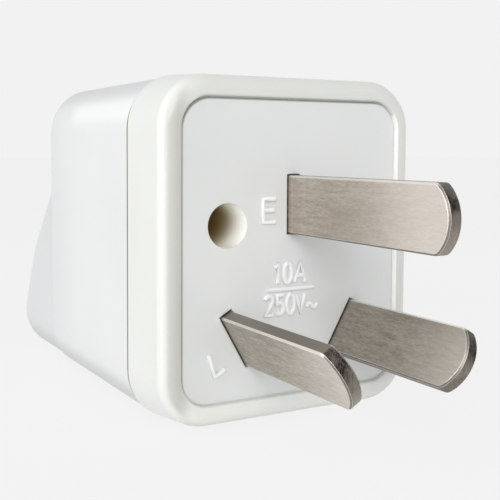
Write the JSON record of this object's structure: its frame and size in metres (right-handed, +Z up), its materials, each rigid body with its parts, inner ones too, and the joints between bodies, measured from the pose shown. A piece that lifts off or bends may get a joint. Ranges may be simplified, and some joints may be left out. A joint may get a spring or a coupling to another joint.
{
  "type": "travel plug adapter",
  "caption": "White travel adapter with three flat pins on the front, earth upright and the other two inclined, and a three-hole socket on a raised boss at the back.",
  "frame": {"origin": "centre of the bounding box seen from above, at the level of the flat underside", "axes": "+Z up, the pins point along -Y, +X to the right when facing the pins"},
  "size_m": [0.0324, 0.074, 0.0386],
  "materials": {
    "ivory_plastic": "gloss",
    "white_plastic": "satin",
    "casing_plastic": "gloss",
    "carrier_plastic": "matte",
    "nickel": "brushed nickel plating",
    "brass": "satin",
    "spring_bronze": "satin",
    "rivet_brass": "satin",
    "screw_steel": "satin"
  },
  "bodies": {
    "root": {"front_frame": "ivory_plastic", "pin_plate": "white_plastic", "rear_casing": "casing_plastic", "earth_pin": "nickel", "line_pin": "nickel", "neutral_pin": "nickel", "earth_strap": "brass", "line_strap": "brass", "neutral_strap": "brass", "earth_clip": "spring_bronze", "line_clip": "spring_bronze", "neutral_clip": "spring_bronze", "earth_rivet": "rivet_brass", "line_rivet": "rivet_brass", "neutral_rivet": "rivet_brass", "contact_carrier": "carrier_plastic", "screw_left": "screw_steel", "screw_right": "screw_steel"}
  },
  "joints": []
}
